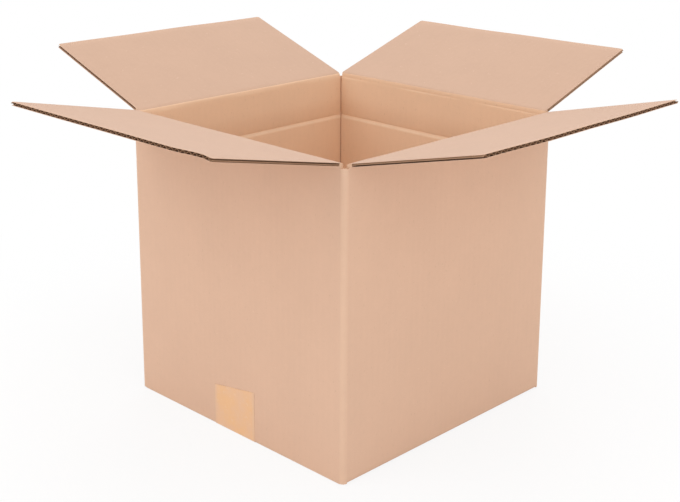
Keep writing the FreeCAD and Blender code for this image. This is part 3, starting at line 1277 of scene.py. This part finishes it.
    def build_crease(self, book: FinishBook) -> Object:
        """Builds the strip that joins the wall to the flap at rest, fixed to the carton's body.

        Args:
            book: The materials.

        Returns:
            The piece.
        """
        bm = bmesh.new()
        verts = [bm.verts.new((-self.width / 2, -spot.x, spot.y)) for spot in self.crease_section()]
        face = bm.faces.new(verts)
        made = bmesh.ops.extrude_face_region(bm, geom=[face], use_keep_orig=True)
        bmesh.ops.translate(bm, verts=moved_verts(made), vec=(self.width, 0, 0))
        long_edges = [edge for edge in bm.edges
                      if abs(edge.verts[0].co.x - edge.verts[1].co.x) > self.width / 2]
        bmesh.ops.subdivide_edges(bm, edges=long_edges, cuts=self.strip_cuts)
        bmesh.ops.recalc_face_normals(bm, faces=bm.faces)
        for vert in bm.verts:
            arm = Vector((0, vert.co.y, vert.co.z))
            turn = math.atan2(vert.co.z, vert.co.y) / math.pi
            facing = smooth(*self.crest_wall, turn) * smooth(*self.crest_flap, turn)
            facing *= smooth(*self.crest_ends, abs(vert.co.x) / self.width)
            wave = ripple(self.crest_waves, vert.co.x, self.seed) - self.crest_from
            vert.co += arm.normalized() * (self.wobble * facing * wave)
        inner_side = Vector((0, 1, 1)).normalized()
        # Ends take the crease colour, painted shade; the flap side takes the flaps' inner finish, painted
        # shade; the wall side takes the inside finish, painted light.
        for item in bm.faces:
            if abs(item.normal.x) > FACING:
                item.material_index = StripSlot.CREASE
            elif item.normal.dot(inner_side) < 0.0:
                item.material_index = StripSlot.OUTER
            else:
                item.material_index = StripSlot.INSIDE if item.normal.y > self.wall_from else StripSlot.INNER
        lay_board_uv(bm, lambda _face, point: (point.x, point.z))
        place = Matrix.Translation(self.pivot) @ self.side.turn
        bmesh.ops.transform(bm, matrix=place, verts=bm.verts)
        name = f"{self.side.label}_flap_crease"
        piece = make_piece(bm, name, (book.outer, book.crease, book.inner, book.inside))
        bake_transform(piece)
        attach(piece, "carton")
        return piece


# The front flap is almost straight but for the buckle near its corner. The others curl.
FLAP_LOOKS: dict[Side, dict[str, float]] = {
    Side.FRONT: {"seed": 0.6, "curl": 0.2 * MM, "hump": 0.9 * MM},
    Side.RIGHT: {"seed": 2.0},
    Side.REAR: {"seed": 3.7},
    Side.LEFT: {"seed": 5.2},
}


@dataclass
class GlueTab:
    """The glued flap of board inside the front wall, at the carton's left corner."""

    plan: CartonPlan
    width: float = 32 * MM
    inset: float = 14 * MM
    taper: float = 6 * MM
    pressed: float = 0.9
    edge_round: float = 0.5 * MM

    def build(self, book: FinishBook) -> Object:
        """Builds the tab.

        Args:
            book: The materials.

        Returns:
            The piece.
        """
        plan = self.plan
        board = plan.board.thickness
        bm = bmesh.new()
        bmesh.ops.create_grid(bm, x_segments=6, y_segments=12, size=0.5)
        for vert in bm.verts:
            share = vert.co.x + 0.5
            tall = plan.height - 2 * (self.inset + self.taper * share)
            across = -plan.half_x + board + share * self.width
            vert.co = Vector((across, -plan.half_y + board, plan.height / 2 + vert.co.y * tall))
        thicken(bm, Vector((0, board * self.pressed, 0)))
        rim = [edge for edge in bm.edges if edge.calc_face_angle(0) > 1
               and edge.verts[0].co.y > -plan.half_y + board
               and edge.verts[1].co.y > -plan.half_y + board * 1.5]
        bmesh.ops.bevel(bm, geom=rim, offset=self.edge_round, affect="EDGES", segments=2, profile=0.5,
                        material=-1)
        for face in bm.faces:
            face.material_index = 0 if face.normal.y > 0.5 else 1
        lay_board_uv(bm, lambda _face, point: (point.x, point.z))
        # The tab's face takes the flaps' inner finish, painted darker as painted shade.
        return make_piece(bm, "glue_tab", (book.inner, book.cut))


@dataclass
class BottomTape:
    """The strip of tape over the foot's seam, turned up the front and rear walls."""

    plan: CartonPlan
    width: float = 50 * MM
    thickness: float = 0.12 * MM
    rise_left: float = 37 * MM
    rise_right: float = 45 * MM
    rise_rear: float = 40 * MM
    bend: float = 0.9 * MM
    tooth_pitch: float = 2.5 * MM
    tooth_depth: float = 0.7 * MM
    proud: float = 0.14 * MM
    columns: int = 80
    rows: int = 84
    bend_steps: int = 4
    lift: float = 0.15 * MM
    lift_span: Pair = (20 * MM, 40 * MM)
    lift_rate: float = 260

    def path(self, way: float) -> tuple[Vector, Vector]:
        """Gives the place and outward direction at a distance from the front bend along the strip.

        Args:
            way: Metres from the foot's front edge, negative up the front wall.

        Returns:
            The (Y, Z) place on the tape's outer face, and the (Y, Z) direction away from the board.
        """
        half, bend = self.plan.half_y + self.proud, self.bend
        arc = bend * QUARTER
        flat = 2 * (half - bend)
        if way < 0:
            return Vector((-half, bend - way)), Vector((-1, 0))
        if way < arc:
            turn = way / bend
            out = Vector((-math.cos(turn), -math.sin(turn)))
            return Vector((-half + bend, bend)) + out * bend, out
        if way < arc + flat:
            return Vector((-half + bend + way - arc, 0)), Vector((0, -1))
        if way < 2 * arc + flat:
            turn = (way - arc - flat) / bend
            out = Vector((math.sin(turn), -math.cos(turn)))
            return Vector((half - bend, bend)) + out * bend, out
        return Vector((half, bend + way - 2 * arc - flat)), Vector((1, 0))

    def tooth(self, across: float) -> float:
        """Gives the saw-tooth of the cutter's blade at a place across the strip."""
        phase = (across / self.tooth_pitch) % 1.0
        return self.tooth_depth * (1 - abs(2 * phase - 1))

    def build(self, book: FinishBook) -> Object:
        """Builds the strip.

        Args:
            book: The materials.

        Returns:
            The piece.
        """
        rows = self.rows
        length = 2 * (self.plan.half_y + self.proud - self.bend) + math.pi * self.bend
        bm = bmesh.new()
        bmesh.ops.create_grid(bm, x_segments=self.columns, y_segments=rows, size=0.5)
        arc = self.bend * QUARTER
        bends = [arc * step / self.bend_steps for step in range(self.bend_steps + 1)]
        stations = bends + [length - item for item in bends]
        walls = (rows - len(stations)) // 4
        middle = rows + 1 - len(stations) - 2 * walls
        stations += [arc + (length - 2 * arc) * (step + 1) / (middle + 1) for step in range(middle)]
        stations.sort()
        for vert in bm.verts:
            across = vert.co.x * self.width
            row = round((vert.co.y + 0.5) * rows)
            if row < walls:
                slope = self.rise_left + (self.rise_right - self.rise_left) * (vert.co.x + 0.5)
                top = slope - self.bend - self.tooth(across)
                way = -top * (1 - row / walls)
            elif row > rows - walls:
                top = self.rise_rear - self.bend - self.tooth(across)
                way = length + top * (row - rows + walls) / walls
            else:
                way = stations[row - walls]
            spot, out = self.path(way)
            loose = smooth(*self.lift_span, -way) * (0.5 + 0.5 * math.sin(across * self.lift_rate))
            place = spot + out * (self.lift * loose)
            vert.co = self.plan.settle(Vector((across, place.x, place.y)))
        bmesh.ops.recalc_face_normals(bm, faces=bm.faces)
        on_front = next(face for face in bm.faces
                        if abs(face.normal.y) > FACING and face.calc_center_median().y < 0)
        if on_front.normal.y > 0:
            bmesh.ops.reverse_faces(bm, faces=bm.faces)
        bmesh.ops.solidify(bm, geom=bm.faces[:], thickness=self.thickness)
        bmesh.ops.recalc_face_normals(bm, faces=bm.faces)
        lay_board_uv(bm, lambda _face, point: (point.x, point.z + point.y))
        return make_piece(bm, "seam_tape", (book.tape,), crisp=60)


@dataclass(frozen=True)
class Lamp:
    """One soft square lamp: where it hangs, its power in watts, its side in metres and its colour."""

    name: str
    place: Triple
    power: float
    size: float
    tint: Triple = (1.0, 1.0, 1.0)


@dataclass(frozen=True)
class Studio:
    """Camera, lamps, world and floor. Angles are in degrees, the lens and sensor in millimetres."""

    place: Triple = (0.7461, -0.7609, 0.4971)
    yaw: float = 44.55
    pitch: float = 14.34
    roll: float = 0.26
    lens: float = 66.78
    shift: float = -0.15
    sensor: float = 36.0
    sky: float = 0.675
    aim: Triple = (0, 0, 0.13)
    lamps: tuple[Lamp, ...] = (
        Lamp("key", (-0.5, -1.6, 1.3), 11.2, 1.4),
        Lamp("fill", (1.8, -0.5, 1.0), 9.2, 1.4, (1.0, 0.97, 0.93)),
        Lamp("top", (0.2, 0.2, 2.0), 11.5, 1.6),
        Lamp("back", (-1.3, 1.5, 1.1), 9, 1.4))
    floor_color: Triple = (0.86, 0.86, 0.86)
    floor_rough: float = 0.9
    floor_size: float = 6
    white_span: Pair = (0.25, 0.60)
    white_near: float = 0.85

    def add_camera(self) -> None:
        """Stands the camera where the photograph's was."""
        yaw, pitch, roll = (math.radians(item) for item in (self.yaw, self.pitch, self.roll))
        back = Vector((math.sin(yaw) * math.cos(pitch), -math.cos(yaw) * math.cos(pitch), math.sin(pitch)))
        right = Vector((math.cos(yaw), math.sin(yaw), 0))
        up = back.cross(right)
        level_right = right * math.cos(roll) + up * math.sin(roll)
        level_up = up * math.cos(roll) - right * math.sin(roll)
        turn = Matrix((level_right, level_up, back)).transposed().to_4x4()
        data = bpy.data.cameras.new("camera")
        data.lens = self.lens
        data.sensor_width = self.sensor
        data.shift_y = self.shift
        camera = link_new("camera", data)
        camera.matrix_world = Matrix.Translation(self.place) @ turn
        bpy.context.scene.camera = camera

    def add_lamp(self, lamp: Lamp) -> None:
        """Hangs one soft square lamp that faces the carton.

        Args:
            lamp: The lamp.
        """
        data = bpy.data.lights.new(lamp.name, "AREA")
        data.color = lamp.tint
        data.energy = lamp.power
        data.size = lamp.size
        data.shape = "SQUARE"
        hung = link_new(lamp.name, data)
        hung.location = lamp.place
        hung.visible_camera = False
        hung.rotation_mode = "QUATERNION"
        hung.rotation_quaternion = (Vector(self.aim) - Vector(lamp.place)).to_track_quat("-Z", "Y")

    def add_world(self) -> None:
        """Makes a white surround that the camera and reflections see as white."""
        world = bpy.data.worlds.new("studio")
        world.use_nodes = True
        bpy.context.scene.world = world
        draw = NodeSketch(world.node_tree)
        back = world.node_tree.nodes["Background"]
        rays = draw.add("ShaderNodeLightPath")
        seen = draw.math("MAXIMUM", rays.outputs["Is Camera Ray"], rays.outputs["Is Glossy Ray"])
        seen = draw.math("MAXIMUM", seen, rays.outputs["Is Transmission Ray"])
        back.inputs["Color"].default_value = (1, 1, 1, 1)
        draw.feed(back, "Strength", draw.span(seen, 0, 1, self.sky, 1.0, soft=False))

    def add_floor(self) -> None:
        """Lays a plain pale floor that keeps a trace of the carton's shadow."""
        material, draw, shader = start_material("pale_floor")
        draw.feed_all(shader, {"Base Color": (*self.floor_color, 1), "Roughness": self.floor_rough})
        glow = draw.wire("ShaderNodeEmission", {})
        rays = draw.add("ShaderNodeLightPath")
        seen = draw.math("MAXIMUM", rays.outputs["Is Camera Ray"], rays.outputs["Is Glossy Ray"])
        away = draw.wire("ShaderNodeVectorMath", {0: draw.place()}, "Value", operation="LENGTH")
        share = draw.span(away, *self.white_span, self.white_near, 1.0)
        blend = draw.wire("ShaderNodeMixShader", {0: draw.times(seen, share), 1: shader.outputs[0], 2: glow})
        output = next(node for node in material.node_tree.nodes if node.type == "OUTPUT_MATERIAL")
        draw.feed(output, "Surface", blend)
        bm = bmesh.new()
        bmesh.ops.create_grid(bm, x_segments=1, y_segments=1, size=self.floor_size)
        mesh = bpy.data.meshes.new("floor")
        bm.to_mesh(mesh)
        bm.free()
        mesh.materials.append(material)
        floor = link_new("floor", mesh)

    def build(self) -> None:
        """Sets up the whole studio."""
        scene = bpy.context.scene
        scene.view_settings.view_transform = "Standard"
        self.add_camera()
        self.add_world()
        self.add_floor()
        for lamp in self.lamps:
            self.add_lamp(lamp)


def main() -> None:
    """Builds every piece in order."""
    logging.basicConfig(level=logging.INFO, format="%(name)s %(message)s")
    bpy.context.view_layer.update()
    plan = CartonPlan()
    book = FinishBook(plan.board)
    walls = CartonBody(plan).build(book)
    tab = GlueTab(plan).build(book)
    for piece in (walls, tab):
        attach(piece, "carton")
        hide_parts("carton")
    tape = BottomTape(plan).build(book)
    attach(tape, "carton")
    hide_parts("bottom_tape")
    joints = {joint["child"]: joint for joint in frame["joints"]}
    for side in Side:
        joint = joints[f"{side.label}_flap"]
        lift = math.pi - math.radians(joint["range_deg"][1])
        flap = TopFlap(plan, side, Vector(joint["pos_m"]), lift, **FLAP_LOOKS[side])
        flap.build_layers(book)
        flap.build_crease(book)
    Studio().build()


if __name__ == "__main__":
    main()
